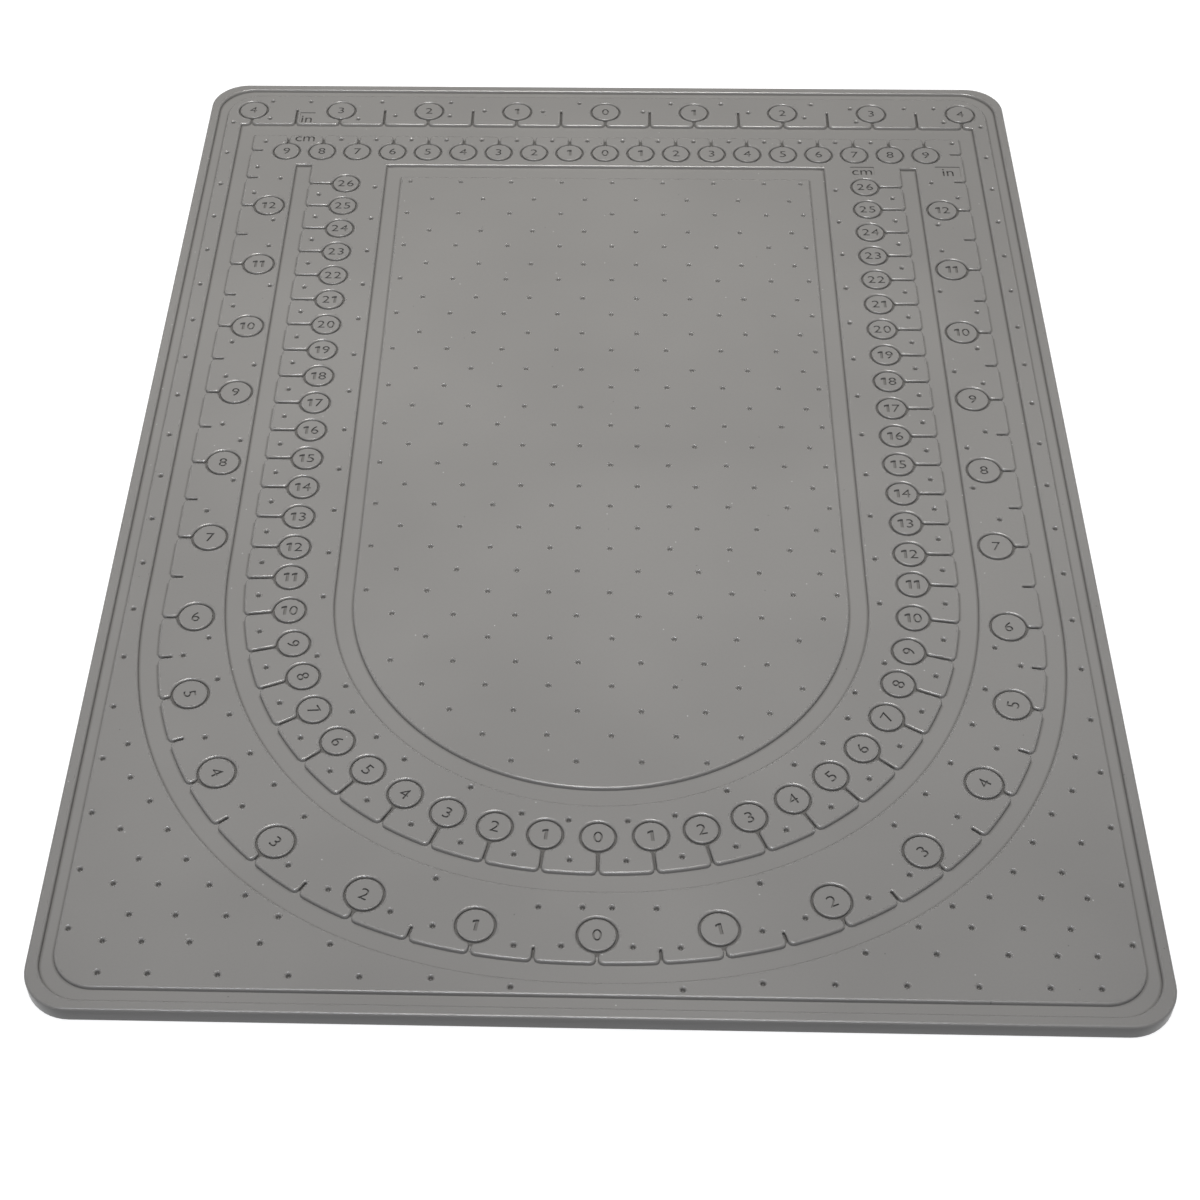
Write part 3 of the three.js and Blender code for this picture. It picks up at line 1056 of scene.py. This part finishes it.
def rubber_material():
    """Satin moulded grey rubber: faint clouds and flow lines, fine grain, shiny worn edges, a little dust,
    and painted shade in its hollows and tiny pits.
    """
    material = bpy.data.materials.new("grey_rubber")
    material.use_nodes = True
    material.node_tree.nodes.clear()
    graph = Graph(material.node_tree)
    place = graph.node("ShaderNodeAttribute", {"attribute_name": "flat_place"})["Vector"]

    def noise(scale, detail=2.0, stretch=(1, 1, 1)):
        spread = graph.node("ShaderNodeMapping", None, {"Vector": place, "Scale": stretch})["Vector"]
        sizes = {"Vector": spread, "Scale": scale, "Detail": detail}
        return graph.node("ShaderNodeTexNoise", None, sizes)["Fac"]

    def between(value, low, high):
        return graph.node("ShaderNodeMapRange", {"interpolation_type": "SMOOTHSTEP"},
                          {"Value": value, "From Min": low, "From Max": high})["Result"]

    def mix(share, first, second):
        made = graph.node("ShaderNodeMix", {"data_type": "RGBA"}, {"Factor": share})
        for socket, value in zip((s for s in made.node.inputs if s.type == "RGBA"), (first, second)):
            if isinstance(value, Signal):
                graph.tree.links.new(value.socket, socket)
            else:
                socket.default_value = (*value, 1)
        return Signal(graph, next(s for s in made.node.outputs if s.type == "RGBA"))

    clouds = between(noise(CLOUD_SCALE, 3), *CLOUD_RANGE)
    flow = between(noise(FLOW_SCALE, 3, FLOW_STRETCH), *FLOW_RANGE)
    grain = noise(GRAIN_SCALE)
    colour = mix(clouds, RUBBER_DARK, RUBBER_LIGHT)
    colour = mix(flow * FLOW_SHOWS, colour, RUBBER_LIGHT)
    colour = mix(between(grain, *GRAIN_RANGE) * GRAIN_SHOWS, colour, RUBBER_GRAIN)

    height = graph.node("ShaderNodeSeparateXYZ", None, {"Vector": place})["Z"]
    grows, fades = ([(TOP - drop) * MM for drop in drops] for drops in (SHINE_GROWS, SHINE_FADES))
    edges = between(height, *grows) * (1 - between(height, *fades))

    def specks(scale, size, share):
        cells = graph.node(
            "ShaderNodeTexVoronoi", {"voronoi_dimensions": "2D"}, {"Vector": place, "Scale": scale})
        chosen = graph.node("ShaderNodeSeparateColor", None, {"Color": cells["Color"]})["Red"] < share
        return chosen * (cells["Distance"] < size * scale)

    dust = specks(*DUST_SPECKS)
    # Dark specks painted as the shade inside tiny pits
    pit_shade = specks(*PIT_SHADE_SPECKS)
    # Painted shade darkens the grooves, dimples, letter floors and the feet of the long walls
    grime = graph.node("ShaderNodeAttribute", {"attribute_name": "grime"})["Fac"]
    colour = mix(grime * PAINTED_SHADE_SHOWS, colour, PAINTED_SHADE_COLOUR)
    colour = mix(dust * DUST_SHOWS, colour, DUST)
    colour = mix(pit_shade * PIT_SHADE_SHOWS, colour, PIT_SHADE_COLOUR)

    roughness = SATIN + (grain - 0.5) * GRAIN_ROUGHENS + (clouds - 0.5) * CLOUDS_ROUGHEN
    roughness = roughness - edges * EDGES_SMOOTH + dust * DUST_ROUGHENS
    bump = graph.node(
        "ShaderNodeBump", None, {"Strength": BUMP_STRENGTH, "Distance": BUMP_HEIGHT, "Height": grain})
    surface = graph.node(
        "ShaderNodeBsdfPrincipled", None,
        {"Base Color": colour, "Roughness": roughness, "Normal": bump["Normal"], "IOR": REFRACTION,
         "Coat Weight": edges, "Coat Roughness": EDGE_SATIN, "Specular IOR Level": SPECULAR})
    graph.node("ShaderNodeOutputMaterial", None, {"Surface": surface["BSDF"]})
    return material


def panel(place):
    """The frame's panel at a place along the mat, counted from the middle one."""
    if place == 0:
        return "panel_middle"
    return f"panel_far_{place}" if place > 0 else f"panel_near_{-place}"


def mat():
    """The ten pieces of the mat, each lying across its hinge line between two panels of the frame, which are
    hidden.
    """
    rubber = rubber_material()
    whole = whole_mesh(build_relief(rubber))
    for way, side in (("far", 1), ("near", -1)):
        for place in range(1, PIECES_EACH_WAY + 1):
            inner, outer = (place - 1) * PIECE_LENGTH, place * PIECE_LENGTH
            reach = HALF_LENGTH + 1 if place == PIECES_EACH_WAY else outer
            piece = piece_between(whole, f"mat_{way}_{place}", *sorted((side * inner, side * reach)), rubber)
            bodies = panel(side * (place - 1)), panel(side * place)
            hinge, bend = (inner + outer) / 2 * side * MM, BEND_LENGTH / 2 * side * MM
            hinge - bend
            hinge + bend
            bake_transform(piece)
            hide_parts(*bodies)
    whole.free()


def camera():
    """The photograph's viewpoint: a long lens, from the near end, looking down at about 47 degrees."""
    lens = bpy.data.cameras.new("camera")
    lens.sensor_width, lens.lens, lens.shift_x = SENSOR_WIDTH, LENS, LENS_SHIFT
    lens.clip_start, lens.clip_end = NEAREST, FARTHEST
    view = bpy.data.objects.new("camera", lens)
    view.location = CAMERA_PLACE
    view.rotation_euler = Euler(np.radians(CAMERA_TURN))
    bpy.context.scene.collection.objects.link(view)
    bpy.context.scene.camera = view


def seen_directly(graph):
    """One for rays that the camera sees, straight, in a mirror or through glass."""
    path = graph.node("ShaderNodeLightPath")
    rays = path["Is Camera Ray"] + path["Is Glossy Ray"] + path["Is Transmission Ray"]
    return graph.node("ShaderNodeClamp", None, {"Value": rays})["Result"]


def floor():
    """A pale floor that looks white and keeps the mat's shadow."""
    material = bpy.data.materials.new("white_floor")
    material.use_nodes = True
    material.node_tree.nodes.clear()
    graph = Graph(material.node_tree)
    plain, pale = (
        graph.node("ShaderNodeBsdfDiffuse", None, {"Color": (shade, shade, shade, 1)})["BSDF"]
        for shade in (FLOOR_PLAIN, FLOOR_PALE)
    )
    glow = graph.node("ShaderNodeEmission", None, {"Color": (1, 1, 1, 1), "Strength": FLOOR_GLOW})
    white = graph.node("ShaderNodeAddShader", None, {0: pale, 1: glow["Emission"]})
    shown = graph.node("ShaderNodeMixShader", None, {0: seen_directly(graph), 1: plain, 2: white["Shader"]})
    graph.node("ShaderNodeOutputMaterial", None, {"Surface": shown["Shader"]})
    mesh = bpy.data.meshes.new("floor")
    corners = ((-1, -1), (1, -1), (1, 1), (-1, 1))
    mesh.from_pydata([(FLOOR_REACH * x, FLOOR_REACH * y, 0) for x, y in corners], [], [(0, 1, 2, 3)])
    mesh.materials.append(material)
    ground = bpy.data.objects.new("floor", mesh)
    bpy.context.scene.collection.objects.link(ground)
    ground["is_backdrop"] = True


def softbox(name, size, place, aim, energy, spread, colour):
    lamp = bpy.data.lights.new(name, "AREA")
    lamp.shape = "RECTANGLE"
    lamp.size, lamp.size_y = size
    lamp.energy = energy
    lamp.spread = math.radians(spread)
    lamp.color = colour
    box = bpy.data.objects.new(name, lamp)
    box.location = place
    box.rotation_euler = (Vector(aim) - box.location).to_track_quat("-Z", "Y").to_euler()
    bpy.context.scene.collection.objects.link(box)


def lights():
    """A softbox overhead, a long one at the near end that lights the edges, and faint light all round."""
    softbox("softbox_overhead", *OVERHEAD_SOFTBOX)
    softbox("softbox_front", *FRONT_SOFTBOX)

    world = bpy.data.worlds.new("studio")
    bpy.context.scene.world = world
    world.use_nodes = True
    world.node_tree.nodes.clear()
    graph = Graph(world.node_tree)
    soft, white = (
        graph.node("ShaderNodeBackground", None, {"Color": colour, "Strength": strength})["Background"]
        for colour, strength in ((ROUND_LIGHT_COLOUR, ROUND_LIGHT), ((1, 1, 1, 1), 1.0))
    )
    camera_ray = graph.node("ShaderNodeLightPath")["Is Camera Ray"]
    both = graph.node("ShaderNodeMixShader", None, {0: camera_ray, 1: soft, 2: white})
    graph.node("ShaderNodeOutputWorld", None, {"Surface": both["Shader"]})


mat()
camera()
floor()
lights()
bpy.context.scene.view_settings.view_transform = "Standard"

boxes = {"cad": cad_box, "visual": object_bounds()}
{name: [list(corner) for corner in box] for name, box in boxes.items()}
